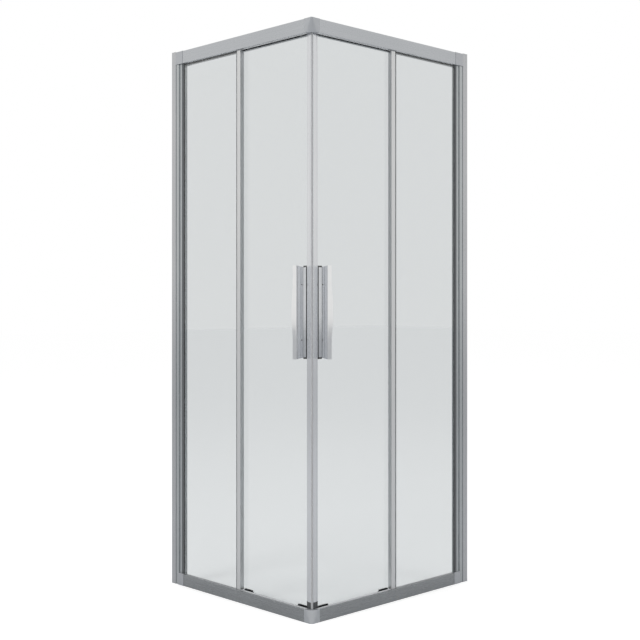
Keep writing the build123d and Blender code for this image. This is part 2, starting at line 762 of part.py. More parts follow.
with BuildPart() as grub_screws:
    for level in post_levels:
        grub = along(handle_x + grub_recess, door_y - grub_standoff, level)
        rod(grub, grub_radius, grub_length)
        with BuildSketch(grub) as socket:
            RegularPolygon(grub_socket, 6)
        extrude(socket.sketch, amount=grub_socket_depth, mode=Mode.SUBTRACT)
write_pair(grub_screws, "grub_screws")
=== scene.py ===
# %% [markdown]
# A corner-entry shower enclosure, dressed in Blender.
# Two fixed panes and two sliding doors stand in a frame of drawn aluminium, with moulded corners and caps.
# The construction comes ready made, as one mesh for each piece. This notebook gives each piece its finish,
# rounds the edges that catch the light, and adds the small things that a maker would miss.

# %% The construction, and its size before anything is added
import json
import math

import bmesh
import bpy
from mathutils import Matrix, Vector


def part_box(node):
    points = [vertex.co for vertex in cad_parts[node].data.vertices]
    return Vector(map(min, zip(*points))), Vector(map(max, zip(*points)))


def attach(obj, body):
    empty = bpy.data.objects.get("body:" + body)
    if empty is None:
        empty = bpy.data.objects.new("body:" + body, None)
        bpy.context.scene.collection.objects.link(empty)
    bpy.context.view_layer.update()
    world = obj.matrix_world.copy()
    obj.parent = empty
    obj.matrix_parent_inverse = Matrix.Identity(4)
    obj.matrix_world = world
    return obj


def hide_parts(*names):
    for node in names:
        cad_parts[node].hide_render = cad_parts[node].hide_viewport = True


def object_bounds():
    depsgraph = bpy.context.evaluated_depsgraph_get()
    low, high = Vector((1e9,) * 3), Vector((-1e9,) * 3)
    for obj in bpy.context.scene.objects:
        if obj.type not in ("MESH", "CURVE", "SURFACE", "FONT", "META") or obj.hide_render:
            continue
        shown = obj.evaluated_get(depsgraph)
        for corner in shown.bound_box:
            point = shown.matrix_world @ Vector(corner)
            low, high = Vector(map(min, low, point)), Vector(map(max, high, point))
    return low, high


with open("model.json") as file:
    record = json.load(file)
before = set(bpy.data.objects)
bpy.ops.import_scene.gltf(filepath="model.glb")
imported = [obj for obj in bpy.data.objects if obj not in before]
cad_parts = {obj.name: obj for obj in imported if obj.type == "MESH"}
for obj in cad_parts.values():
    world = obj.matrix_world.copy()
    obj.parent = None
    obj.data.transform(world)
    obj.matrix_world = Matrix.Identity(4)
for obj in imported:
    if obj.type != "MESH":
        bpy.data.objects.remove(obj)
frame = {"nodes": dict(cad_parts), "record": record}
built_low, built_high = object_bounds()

NODES = frame["nodes"]
RECORD = frame["record"]
BODY_OF = {node: body for body, nodes in RECORD["behaviour"]["bodies"].items() for node in nodes}
MM = 0.001
SIDES = ("right", "left")
print("size in metres:", [round(v, 3) for v in built_high - built_low])

# %% [markdown]
# The camera comes first, because every later choice is judged through it. It stands at eye level for a
# seated person and looks level past the front corner, so that upright lines stay upright. A small lens
# shift then sets the enclosure in the frame.

# %% Camera
CAMERA_PLACE = (-2.3967, -2.6883, 1.0369)
CAMERA_LOOK = (0.7223, 0.6916, 0.0)
LENS = 62.5
LENS_SHIFT = (-0.125, -0.0298)


def make_camera():
    """A level camera with a shifted lens, as for photographing a building."""
    data = bpy.data.cameras.new("product_camera")
    data.lens = LENS
    data.shift_x, data.shift_y = LENS_SHIFT
    camera = bpy.data.objects.new("product_camera", data)
    camera.location = CAMERA_PLACE
    camera.rotation_euler = Vector(CAMERA_LOOK).to_track_quat("-Z", "Y").to_euler()
    bpy.context.scene.collection.objects.link(camera)
    return camera


bpy.context.scene.camera = make_camera()
print("camera", CAMERA_PLACE, "lens", LENS, "mm")

# %% [markdown]
# A shader or a shape tree is easier to read as a formula than as a list of links. The class below wraps one
# output socket, and Python's own operators on it add Math nodes. One function adds any other node: its
# settings first, and then the values or the links of its sockets.

# %% Nodes written as expressions


def find_socket(sockets, key):
    """A socket by its number, its identifier or its name."""
    if isinstance(key, int):
        return sockets[key]
    for socket in sockets:
        if socket.identifier == key:
            return socket
    return next(socket for socket in sockets if socket.name == key and socket.enabled)


def add_node(tree, kind, settings=None, sockets=None, output=0):
    """Adds a node and returns one of its outputs, wrapped."""
    node = tree.nodes.new(kind)
    for name, value in (settings or {}).items():
        setattr(node, name, value)
    for key, value in (sockets or {}).items():
        entry = find_socket(node.inputs, key)
        if isinstance(value, Wire):
            tree.links.new(value.socket, entry)
        else:
            entry.default_value = value
    return Wire(tree, find_socket(node.outputs, output)) if node.outputs else None


class Wire:
    """One output socket. Arithmetic on it adds Math nodes to its tree."""

    def __init__(self, tree, socket):
        self.tree = tree
        self.socket = socket

    def math(self, operation, *values):
        return add_node(self.tree, "ShaderNodeMath", {"operation": operation}, dict(enumerate(values)))

    def __add__(self, other):
        return self.math("ADD", self, other)

    __radd__ = __add__

    def __sub__(self, other):
        return self.math("SUBTRACT", self, other)

    def __rsub__(self, other):
        return self.math("SUBTRACT", other, self)

    def __mul__(self, other):
        return self.math("MULTIPLY", self, other)

    __rmul__ = __mul__

    def __gt__(self, other):
        return self.math("GREATER_THAN", self, other)

    def __abs__(self):
        return self.math("ABSOLUTE", self)

    def clamp(self):
        return add_node(self.tree, "ShaderNodeClamp", None, {"Value": self})


print("sockets wrapped: +, -, *, > and abs")

# %% [markdown]
# Colours are written as they look on a screen, and turned into the linear values that a shader works with.
# A finish always starts with an empty tree and a place on the piece to hang a pattern on, and ends in one
# Principled shader. Object coordinates are that place, because they stay with the piece when a door slides.

# %% Colours and finishes


def screen(code):
    """A linear colour from a screen colour such as 0xA8ACB0."""
    channels = [(code >> shift & 255) / 255 for shift in (16, 8, 0)]
    return [c / 12.92 if c <= 0.04045 else ((c + 0.055) / 1.055) ** 2.4 for c in channels] + [1.0]


class Finish:
    """A material being wired."""

    def __init__(self, name):
        self.material = bpy.data.materials.new(name)
        self.material.use_nodes = True
        self.tree = self.material.node_tree
        self.tree.nodes.clear()
        self.place = self.add("ShaderNodeTexCoord", output="Object")

    def add(self, kind, settings=None, sockets=None, output=0):
        return add_node(self.tree, kind, settings, sockets, output)

    def noise(self, scale, detail=2.0, roughness=0.5):
        """Noise between 0 and 1. scale is one number, or three for a pattern stretched along an axis."""
        stretch = scale if isinstance(scale, (list, tuple)) else (scale,) * 3
        spot = self.add("ShaderNodeMapping", None, {"Vector": self.place, "Scale": stretch})
        settings = {"Vector": spot, "Scale": 1.0, "Detail": detail, "Roughness": roughness}
        return self.add("ShaderNodeTexNoise", None, settings)

    def mix(self, share, low, high):
        """A colour between two others."""
        sockets = {"Factor_Float": share, "A_Color": low, "B_Color": high}
        return self.add("ShaderNodeMix", {"data_type": "RGBA"}, sockets, "Result_Color")

    def bump(self, height, depth):
        """A normal that follows a height pattern, depth metres deep."""
        return self.add("ShaderNodeBump", None, {"Strength": 1.0, "Distance": depth, "Height": height})

    def close(self, **looks):
        """Ends the tree in a Principled shader. Each look is a socket's name, with _ for a space."""
        sockets = {name.replace("_", " "): value for name, value in looks.items()}
        shader = self.add("ShaderNodeBsdfPrincipled", None, sockets)
        self.add("ShaderNodeOutputMaterial", None, {"Surface": shader})
        return self.material


print("a shade:", [round(v, 3) for v in screen(0xA8ACB0)])

# %% [markdown]
# The frame is aluminium, drawn through a die and then anodised to a satin silver. The die leaves faint
# lines along the section, so the grain runs along X on the right side's rails, along Y on the left side's,
# and along Z on every upright. Noise stretched a hundred and fifty times along one axis makes those lines,
# at two widths: one fine enough to soften the gloss, and one broad enough to show from a step away.

# %% Drawn aluminium
GRAIN_FINE = 1400.0
GRAIN_BROAD = 120.0
GRAIN_STRETCH = 1 / 150
METAL_SHARE = 0.85  # the oxide film scatters a little light, so the metal is never a full mirror
LINE_DEPTH = 0.02 * MM
CLOUD_SCALE = 2.5
WIPED_SCALE = (9.0, 9.0, 2.0)  # streaks left by a cloth, longer up and down


def stretched(scale, axis):
    """A scale for noise whose grains run along one axis."""
    return [scale * (GRAIN_STRETCH if i == axis else 1.0) for i in range(3)]


def drawn_aluminium(name, dark, light, axis, roughness=0.27):
    """Satin anodised aluminium with the die's lines along one axis."""
    finish = Finish(name)
    fine = finish.noise(stretched(GRAIN_FINE, axis), 3.0, 0.6)
    broad = finish.noise(stretched(GRAIN_BROAD, axis), 2.0)
    cloud = finish.noise(CLOUD_SCALE, 2.0)
    tone = (fine * 0.2 + broad * 0.4 + cloud * 0.6 - 0.1).clamp()
    wiped = finish.noise(WIPED_SCALE, 4.0, 0.7)
    return finish.close(
        Base_Color=finish.mix(tone, screen(dark), screen(light)),
        Metallic=METAL_SHARE,
        Roughness=fine * 0.12 + broad * 0.06 + wiped * 0.08 + (roughness - 0.13),
        Normal=finish.bump(fine * 0.5 + broad, LINE_DEPTH),
    )


def rail_pair(name, dark, light):
    """A rail's finish for each side, with the lines along that side."""
    return {
        "right": drawn_aluminium(f"right_{name}", dark, light, X),
        "left": drawn_aluminium(f"left_{name}", dark, light, Y),
    }


X, Y, Z = range(3)
TOP_RAIL = rail_pair("top_rail_satin", 0xA8ACB1, 0xBABDC2)
# Painted shade: the bottom rails are the same aluminium as the top rails, given darker colours to stand for
# the darker floor that they reflect.
BOTTOM_RAIL = rail_pair("bottom_rail_painted_shade", 0x888B8E, 0x9EA1A4)
CHANNEL_SATIN = drawn_aluminium("wall_channel_satin", 0xAAACB0, 0xBCBEC2, Z)
JAMB_SATIN = drawn_aluminium("jamb_satin", 0xA2A7AA, 0xB8BCBF, Z)
STILE_BRIGHT = drawn_aluminium("stile_bright", 0xC8CBD0, 0xDCDEE2, Z, 0.18)
STRIP_SATIN = drawn_aluminium("strip_satin", 0xC6C8CA, 0xD8DADC, Z, 0.34)
print("aluminium:", CHANNEL_SATIN.name, JAMB_SATIN.name, STILE_BRIGHT.name, STRIP_SATIN.name)

# %% [markdown]
# Clear float glass is nearly colourless through its face and green at its edges, where the light comes a
# long way through it. The pane is a real slab here, so refraction does the rest, and a mask made from the
# normal tells an edge from a face: on a face of the right side's panes the normal runs along Y, and on the
# left side's along X.

# %% Glass
GLASS_FACE = 0xD4D7D8
GLASS_EDGE = 0x9FBBB3
FACE_NORMAL = 0.7  # a normal with more than this share along the pane's thickness is on its face
GLASS_INDEX = 1.5


def float_glass(name, thickness_axis):
    """Clear float glass whose edges, away from one axis, look greener."""
    finish = Finish(name)
    normal = finish.add("ShaderNodeTexCoord", output="Normal")
    part = finish.add("ShaderNodeSeparateXYZ", None, {"Vector": normal}, "XYZ"[thickness_axis])
    edge = 1 - (abs(part) > FACE_NORMAL)
    film = finish.noise(7.0, 3.0)
    return finish.close(
        Base_Color=finish.mix(edge, screen(GLASS_FACE), screen(GLASS_EDGE)),
        Roughness=film * 0.02,
        IOR=GLASS_INDEX,
        Transmission_Weight=1.0,
    )


PANE = {"right": float_glass("right_float_glass", Y), "left": float_glass("left_float_glass", X)}
print("glass", hex(GLASS_FACE), "with edges", hex(GLASS_EDGE))

# %% [markdown]
# The handles are polished and chromed, so they show the room more than themselves. Their material is
# simple: a bright metal with a little less gloss where fingers have been, which a slow noise gives. The
# grips on the inside are blasted first and so are duller, and the screws are plain turned steel.

# %% Chrome and steel
POLISH_RIPPLE = 0.004 * MM
BLAST_DEPTH = 0.01 * MM


def polished_chrome():
    """Mirror chrome with faint smudges."""
    finish = Finish("handle_chrome")
    smudge = finish.noise(55.0, 4.0, 0.6)
    return finish.close(
        Base_Color=finish.mix(smudge, screen(0xD9DBDF), screen(0xE4E6E8)),
        Metallic=1.0,
        Roughness=smudge * 0.08 + 0.03,
        Normal=finish.bump(finish.noise(260.0, 2.0), POLISH_RIPPLE),
    )


def satin_chrome():
    """Chrome over a blasted face, duller than the outer handle's."""
    finish = Finish("satin_chrome")
    grit = finish.noise(2200.0, 2.0)
    drift = finish.noise(14.0, 2.0)
    return finish.close(
        Base_Color=finish.mix((grit * 0.4 + drift * 0.6).clamp(), screen(0xC4C6CA), screen(0xDADCDF)),
        Metallic=0.55,
        Roughness=grit * 0.12 + 0.3,
        Normal=finish.bump(grit, BLAST_DEPTH),
    )


def turned_steel():
    """Screw steel, passivated, with a cloudy gloss."""
    finish = Finish("turned_steel")
    cloud = finish.noise(900.0, 3.0)
    return finish.close(
        Base_Color=finish.mix(cloud, screen(0x9A9A9A), screen(0xBEBEBC)),
        Metallic=1.0,
        Roughness=cloud * 0.2 + 0.22,
        Normal=finish.bump(cloud, BLAST_DEPTH),
    )


CHROME = polished_chrome()
GRIP_CHROME = satin_chrome()
STEEL = turned_steel()
print("metals:", CHROME.name, GRIP_CHROME.name, STEEL.name)

# %% [markdown]
# Moulded plastic is never quite one colour nor quite smooth: the mould's spark-eroded face leaves a fine
# orange peel, and the pigment drifts a little. One function makes them all, from silver caps to dark
# buttons, and rubber is the same with more roughness and no gloss. The glazing rubber is one piece in this
# model, dark where it stands upright and pale where it lies in the rails, so its colour follows its height.

# %% Plastics and rubber
UPRIGHT_MIDDLE = 972.0 * MM  # halfway up the upright gaskets
UPRIGHT_REACH = 929.9 * MM  # half their length
PEEL_SCALE = 1200.0
PEEL_DEPTH = 0.02 * MM


def moulded(name, dark, light, roughness, **looks):
    """Moulded plastic or rubber: two near shades, and a fine orange peel."""
    finish = Finish(name)
    grain = finish.noise(PEEL_SCALE, 2.0)
    drift = finish.noise(12.0, 2.0)
    return finish.close(
        Base_Color=finish.mix((grain * 0.4 + drift * 0.6).clamp(), screen(dark), screen(light)),
        Roughness=grain * 0.15 + (roughness - 0.07),
        Normal=finish.bump(grain, PEEL_DEPTH),
        **looks,
    )


def glazing_rubber():
    """Glazing rubber: dark in the upright pockets, pale in the slots of the rails."""
    finish = Finish("glazing_rubber")
    level = finish.add("ShaderNodeSeparateXYZ", None, {"Vector": finish.place}, "Z")
    in_rail = abs(level - UPRIGHT_MIDDLE) > UPRIGHT_REACH
    grain = finish.noise(PEEL_SCALE, 2.0)
    dark = finish.mix(grain, screen(0x54575A), screen(0x696C6F))
    pale = finish.mix(grain, screen(0xC6C7CA), screen(0xD6D7DA))
    return finish.close(
        Base_Color=finish.mix(in_rail, dark, pale),
        Roughness=grain * 0.15 + 0.5,
        Normal=finish.bump(grain, PEEL_DEPTH),
    )


CAP_PLASTIC = moulded("silver_cap_plastic", 0xA4A7AC, 0xB6B9BE, 0.33, Metallic=0.6)
CORNER_PLASTIC = moulded("silver_corner_plastic", 0xA4A8AD, 0xB8BBC0, 0.36, Metallic=0.6)
DARK_PLASTIC = moulded("dark_plastic", 0x141516, 0x242628, 0.42)
CARRIAGE_PLASTIC = moulded("carriage_plastic", 0xA0A3A5, 0xB2B5B6, 0.4)
ROLLER_PLASTIC = moulded("roller_plastic", 0xCFCFCA, 0xE2E2DE, 0.3)
FOOT_PLASTIC = moulded("foot_plastic", 0x3C3E40, 0x505254, 0.24)
GASKET_RUBBER = glazing_rubber()
STOP_RUBBER = moulded("stop_rubber", 0x1B1B1C, 0x2B2B2C, 0.7)
COVER_PLASTIC = moulded("cover_plastic", 0xCDCED2, 0xDCDDE0, 0.4)
SEAL_LOOKS = {"Transmission_Weight": 0.35, "IOR": 1.45}
SEAL_PLASTIC = moulded("seal_plastic", 0xD0D2D5, 0xE2E4E6, 0.3, **SEAL_LOOKS)
print("plastics:", CAP_PLASTIC.name, CORNER_PLASTIC.name, DARK_PLASTIC.name, SEAL_PLASTIC.name)
print("rubbers:", GASKET_RUBBER.name, STOP_RUBBER.name)

# %% [markdown]
# No real edge is perfectly sharp, and the thin bright line along an edge is much of what makes a metal
# section look real. The construction's meshes have sharp edges and loose triangles, so each piece that
# shows is copied, welded, cleaned of the triangles inside its flat faces, and given a narrow bevel. A
# modifier does it better than hand-placed loops, because it finds the edges by their angle. A second one
# weighs the normals by area, so that a flat face stays flat right up to its bevel: on chrome, any bend in
# the normals shows as a ripple. A pane's edges are ground flat instead, in one facet. Shadow rays can't
# bend, so a pane of refracting glass would darken the floor like a board: it is hidden from those rays.

# %% Edges that catch the light
WELD = 0.002 * MM
SHARP = math.radians(35)
FLAT = math.radians(0.5)
ARRIS = 0.6 * MM  # the ground corner that takes the bite off a pane's edge
SECTION_EDGE, SLIM_EDGE, TRIM_EDGE, MOULDED_EDGE = 0.5 * MM, 0.4 * MM, 0.25 * MM, 0.7 * MM


def link(name, mesh, body):
    """Makes an object of a finished mesh and sets it on its body."""
    piece = bpy.data.objects.new(name, mesh)
    bpy.context.scene.collection.objects.link(piece)
    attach(piece, body)
    return piece


def bake_modifiers(piece):
    """Turns a piece's modifiers into a plain mesh."""
    graph = bpy.context.evaluated_depsgraph_get()
    mesh = bpy.data.meshes.new_from_object(piece.evaluated_get(graph), depsgraph=graph)
    piece.modifiers.clear()
    piece.data = mesh


def welded_copy(node):
    """A node's mesh with its corners joined and the triangles of each flat face made one."""
    mesh = NODES[node].data.copy()
    work = bmesh.new()
    work.from_mesh(mesh)
    bmesh.ops.remove_doubles(work, verts=work.verts, dist=WELD)
    bmesh.ops.dissolve_limit(work, angle_limit=FLAT, verts=work.verts, edges=work.edges)
    work.to_mesh(mesh)
    work.free()
    for layer in list(mesh.attributes):
        if layer.name == "custom_normal":
            mesh.attributes.remove(layer)
    return mesh


def rounded(node, width, material, segments=2):
    """A copy of a node with its sharp edges rounded, standing for that node."""
    mesh = welded_copy(node)
    mesh.shade_smooth()
    mesh.set_sharp_from_angle(angle=SHARP)
    piece = link(f"{node}_rounded", mesh, BODY_OF[node])
    bevel = piece.modifiers.new("edges", "BEVEL")
    bevel.width = width
    bevel.segments = segments
    bevel.limit_method = "ANGLE"
    bevel.angle_limit = SHARP
    bevel.miter_outer = "MITER_ARC"
    bevel.harden_normals = True
    flat = piece.modifiers.new("flat_faces", "WEIGHTED_NORMAL")
    flat.keep_sharp = True
    bake_modifiers(piece)
    piece.data.materials.clear()
    piece.data.materials.append(material)
    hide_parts(node)
    return piece


for side in SIDES:
    rounded(f"{side}_top_rail", SECTION_EDGE, TOP_RAIL[side])
    rounded(f"{side}_bottom_rail", SECTION_EDGE, BOTTOM_RAIL[side])
    rounded(f"{side}_wall_channel", SECTION_EDGE, CHANNEL_SATIN)
    rounded(f"{side}_jamb", SLIM_EDGE, JAMB_SATIN)
    rounded(f"{side}_closing_stile", SECTION_EDGE, STILE_BRIGHT)
    rounded(f"{side}_fixed_strip", TRIM_EDGE, STRIP_SATIN)
    rounded(f"{side}_handle", SECTION_EDGE, CHROME)
    rounded(f"{side}_inner_grip", SLIM_EDGE, GRIP_CHROME)
    rounded(f"{side}_top_end_cap", TRIM_EDGE, CAP_PLASTIC)
    rounded(f"{side}_bottom_end_cap", TRIM_EDGE, CAP_PLASTIC)
    for pane in ("door_glass", "fixed_glass"):
        rounded(f"{side}_{pane}", ARRIS, PANE[side], 1).visible_shadow = False
for node in ("top_corner", "bottom_corner"):
    rounded(node, MOULDED_EDGE, CORNER_PLASTIC, 3)

# %% [markdown]
# The other pieces are small or thin, or stand inside the frame, so their sharp edges don't show. They stay
# as they are and take their finish in their own material slots.

# %% Finishes on the other pieces
FINISHES = {
    "glazing_gaskets": GASKET_RUBBER,
    "door_stops": STOP_RUBBER,
    "stile_foot": FOOT_PLASTIC,
    "magnetic_seal": SEAL_PLASTIC,
    "rear_strip": SEAL_PLASTIC,
    "roller_axles": STEEL,
    "roller_caps": CHROME,
    "carriages": CARRIAGE_PLASTIC,
    "handle_posts": CHROME,
    "grub_screws": STEEL,
    "front_roller": ROLLER_PLASTIC,
    "rear_roller": ROLLER_PLASTIC,
    "front_release": DARK_PLASTIC,
    "rear_release": DARK_PLASTIC,
    "front_wheel": ROLLER_PLASTIC,
    "rear_wheel": ROLLER_PLASTIC,
}


def paint(node, material):
    """Gives a node one material."""
    NODES[node].data.materials.clear()
    NODES[node].data.materials.append(material)


for side in SIDES:
    for name, material in FINISHES.items():
        paint(f"{side}_{name}", material)
print("painted in place:", len(FINISHES), "kinds of piece")

# %% [markdown]
# Beside the fixed glass, the glazing slot of each rail runs on over the door, with nothing in it. A maker
# closes it there with a pale push-in cover, which shows as a light line under the top rail. It is one
# section all along, a plate with two legs, so a prism drawn from the section's corners is all it needs.

# %% Covers in the rails' slots
SLOT_LOW, SLOT_HIGH = -15.0 * MM, -7.0 * MM
COVER_START, COVER_END = 14.2 * MM, 353.9 * MM
COVER_WALL, COVER_LEG = 1.2 * MM, 7.0 * MM
COVER_PLAY = 0.05 * MM
RAIL_UNDER, BOTTOM_RAIL_TOP = 1902.0 * MM, 42.0 * MM


def cover_section(face, inwards):
    """The corners of a U-section in Y and Z, whose plate lies at one level and whose legs point inwards."""
    low, high = SLOT_LOW + COVER_PLAY, SLOT_HIGH - COVER_PLAY
    plate, leg = face + inwards * COVER_WALL, face + inwards * COVER_LEG
    return [
        (low, face), (high, face), (high, leg), (high - COVER_WALL, leg),
        (high - COVER_WALL, plate), (low + COVER_WALL, plate), (low + COVER_WALL, leg), (low, leg),
    ]


def slot_cover(name, side, section):
    """A prism of the section along one side, with its normals made to point outwards."""
    work = bmesh.new()
    rings = []
    for run in (COVER_START, COVER_END):
        corners = [(run, y, z) if side == "right" else (y, run, z) for y, z in section]
        rings.append([work.verts.new(corner) for corner in corners])
        work.faces.new(rings[-1])
    count = len(section)
    for i in range(count):
        j = (i + 1) % count
        work.faces.new([rings[0][i], rings[0][j], rings[1][j], rings[1][i]])
    bmesh.ops.recalc_face_normals(work, faces=work.faces)
    mesh = bpy.data.meshes.new(name)
    work.to_mesh(mesh)
    work.free()
    mesh.materials.append(COVER_PLASTIC)
    link(name, mesh, "enclosure_frame")


for side in SIDES:
    slot_cover(f"{side}_top_slot_cover", side, cover_section(RAIL_UNDER, 1))
    slot_cover(f"{side}_bottom_slot_cover", side, cover_section(BOTTOM_RAIL_TOP, -1))
print("slot covers:", round((COVER_END - COVER_START) / MM, 1), "mm long")

# %% [markdown]
# The frame is held by eighteen small pan-head screws. They are one shape set down many times, which is what
# Geometry Nodes are for: the tree below draws one screw, with a tapered head, a cross recess and a thread,
# and stands a copy on every point of a mesh, turned to the direction that the point carries. Copies made
# this way cost almost nothing until the end, where Realize Instances turns them into plain faces.

# %% A screw, drawn once
X_AXIS, Y_AXIS = (1.0, 0.0, 0.0), (0.0, 1.0, 0.0)
HEAD_RADIUS, HEAD_TOP_RADIUS, HEAD_HEIGHT = 3.0 * MM, 2.34 * MM, 2.0 * MM
SHANK_RADIUS, THREAD_RADIUS, THREAD_PITCH = 1.3 * MM, 0.2 * MM, 0.9 * MM
RECESS_LENGTH, RECESS_WIDTH, RECESS_DEPTH = 3.4 * MM, 0.8 * MM, 1.1 * MM


class ShapeTree:
    """A Geometry Nodes tree being built, with named sizes as its inputs."""

    def __init__(self, name):
        self.group = bpy.data.node_groups.new(name, "GeometryNodeTree")
        self.group.interface.new_socket("Geometry", in_out="INPUT", socket_type="NodeSocketGeometry")
        self.group.interface.new_socket("Geometry", in_out="OUTPUT", socket_type="NodeSocketGeometry")
        self.identifiers = {}

    def size(self, name):
        """Declares a named size."""
        row = self.group.interface.new_socket(name, in_out="INPUT", socket_type="NodeSocketFloat")
        self.identifiers[name] = row.identifier

    def input(self, name):
        """One of the tree's inputs, as a wire."""
        return self.add("NodeGroupInput", output=name)

    def add(self, kind, settings=None, sockets=None, output=0):
        return add_node(self.group, kind, settings, sockets, output)

    def vector(self, x=0.0, y=0.0, z=0.0):
        """A vector of numbers or wires."""
        return self.add("ShaderNodeCombineXYZ", None, {"X": x, "Y": y, "Z": z})

    def moved(self, shape, shift, turn=(0.0, 0.0, 0.0)):
        """A shape, turned and then shifted."""
        sockets = {"Geometry": shape, "Translation": shift, "Rotation": turn}
        return self.add("GeometryNodeTransform", None, sockets)

    def joined(self, *shapes):
        """Several shapes as one."""
        join = self.add("GeometryNodeJoinGeometry")
        for shape in shapes:
            self.group.links.new(shape.socket, join.socket.node.inputs[0])
        return join

    def end(self, shape, material):
        """Realizes the copies, gives them their material and ends the tree."""
        plain = self.add("GeometryNodeRealizeInstances", None, {"Geometry": shape})
        painted = self.add("GeometryNodeSetMaterial", None, {"Geometry": plain, "Material": material})
        self.add("NodeGroupOutput", None, {0: painted})
        return self


def screw_tree():
    """Pan-head screws: the points carry the direction that the head faces."""
    tree = ShapeTree("pan_head_screws")
    tree.size("Length")
    length = tree.input("Length")
    head = tree.add("GeometryNodeMeshCone", None, {
        "Vertices": 24, "Depth": HEAD_HEIGHT,
        "Radius Top": HEAD_TOP_RADIUS, "Radius Bottom": HEAD_RADIUS,
    }, "Mesh")
    for turn in (0.0, math.pi / 2):
        bar = tree.add("GeometryNodeMeshCube", None, {
            "Size": (RECESS_LENGTH, RECESS_WIDTH, RECESS_DEPTH * 2),
        }, "Mesh")
        bar = tree.moved(bar, (0.0, 0.0, HEAD_HEIGHT), (0.0, 0.0, turn))
        head = tree.add("GeometryNodeMeshBoolean", {"operation": "DIFFERENCE"}, {0: head, 1: bar})
    core = {"Vertices": 16, "Radius": SHANK_RADIUS, "Depth": length}
    shank = tree.add("GeometryNodeMeshCylinder", None, core, "Mesh")
    shank = tree.moved(shank, tree.vector(z=length * -0.5))
    helix = tree.add("GeometryNodeCurveSpiral", None, {
        "Resolution": 10, "Rotations": length * (1 / THREAD_PITCH) - 1.0,
        "Start Radius": SHANK_RADIUS, "End Radius": SHANK_RADIUS, "Height": length - THREAD_PITCH,
    })
    diamond = {"Resolution": 4, "Radius": THREAD_RADIUS}
    ridge = tree.add("GeometryNodeCurvePrimitiveCircle", None, diamond)
    thread = tree.add("GeometryNodeCurveToMesh", None, {"Curve": helix, "Profile Curve": ridge})
    thread = tree.moved(thread, tree.vector(z=length * -1.0 + THREAD_PITCH / 2))
    kind = {"data_type": "FLOAT_VECTOR"}
    facing = tree.add("GeometryNodeInputNamedAttribute", kind, {"Name": "facing"})
    turn = tree.add("FunctionNodeAlignRotationToVector", {"axis": "Z"}, {"Vector": facing})
    copies = tree.add("GeometryNodeInstanceOnPoints", None, {
        "Points": tree.input("Geometry"), "Instance": tree.joined(head, shank, thread), "Rotation": turn,
    })
    return tree.end(copies, STEEL)


def grown(tree, name, points, body, sizes, facing=()):
    """Runs a tree on a mesh of loose points, and keeps the plain mesh that it makes."""
    mesh = bpy.data.meshes.new(name)
    mesh.from_pydata(points, [], [])
    if facing:
        layer = mesh.attributes.new("facing", "FLOAT_VECTOR", "POINT")
        layer.data.foreach_set("vector", [part for direction in facing for part in direction])
    piece = link(name, mesh, body)
    modifier = piece.modifiers.new("shape", "NODES")
    modifier.node_group = tree.group
    for label, value in sizes.items():
        modifier[tree.identifiers[label]] = value
    bake_modifiers(piece)
    return piece


SCREWS = screw_tree()
print("a screw:", len(SCREWS.group.nodes), "nodes")

# %% [markdown]
# The screws stand in three places: through each jamb into the screw ports of the rails, through each wall
# channel into the jamb behind it, and in the slots of the rails, where they hold the tongues of the corner
# connectors. The left side's places are the right side's with X and Y exchanged.

# %% Screws of the frame
RAIL_SCREW_SEAT, PORT_LINE = 708.6 * MM, -11.0 * MM
PORT_LEVELS = [4.6 * MM, 19.4 * MM, 1924.6 * MM, 1943.4 * MM]
JAMB_SCREW_PLACE, JAMB_SCREW_SEAT = 732.0 * MM, 22.0 * MM
JAMB_SCREW_LEVELS = [200.0 * MM, 975.0 * MM, 1750.0 * MM]
TONGUE_SCREW_PLACE, TONGUE_SCREW_SEAT = 29.0 * MM, -15.0 * MM
TONGUE_SCREW_LEVELS = [12.0 * MM, 1934.0 * MM]
RAIL_SCREW_LENGTH, SHORT_SCREW_LENGTH = 16.0 * MM, 5.0 * MM


def both_sides(places, direction):
    """The right side's places and their mirror images, with the direction at each."""
    left = [(y, x, z) for x, y, z in places]
    turned = (direction[1], direction[0], direction[2])
    return places + left, [direction] * len(places) + [turned] * len(left)


def stand_screws(node, length, rows):
    """Screws of one length at the given rows of places and directions, standing for a node."""
    places, facing = [], []
    for row, direction in rows:
        row_places, row_facing = both_sides(row, direction)
        places += row_places
        facing += row_facing
    sizes = {"Length": length}
    piece = grown(SCREWS, f"{node}_threaded", places, BODY_OF[node], sizes, facing)
    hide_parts(node)
    return len(places)


rail_rows = [([(RAIL_SCREW_SEAT, PORT_LINE, level) for level in PORT_LEVELS], X_AXIS)]
jamb_row = ([(JAMB_SCREW_PLACE, JAMB_SCREW_SEAT, level) for level in JAMB_SCREW_LEVELS], Y_AXIS)
tongue_row = ([(TONGUE_SCREW_PLACE, TONGUE_SCREW_SEAT, level) for level in TONGUE_SCREW_LEVELS], Y_AXIS)
print("long screws:", stand_screws("rail_screws", RAIL_SCREW_LENGTH, rail_rows))
print("short screws:", stand_screws("short_screws", SHORT_SCREW_LENGTH, [jamb_row, tongue_row]))

# %% [markdown]
# A release button is pressed with a wet thumb, so its top is ribbed. The ribs are a row of small bars on
# the button's flat, and a second tree sets them out from a count, a spacing and a bar's size.

# %% Ribs on the release buttons
RIB_COUNT = 9
RIB_PITCH, RIB_WIDTH, RIB_HEIGHT = 3.2 * MM, 1.1 * MM, 0.4 * MM
RIB_MARGIN = 1.1 * MM  # flat left at each end of a rib
BUTTON_DEPTH = 6.2 * MM


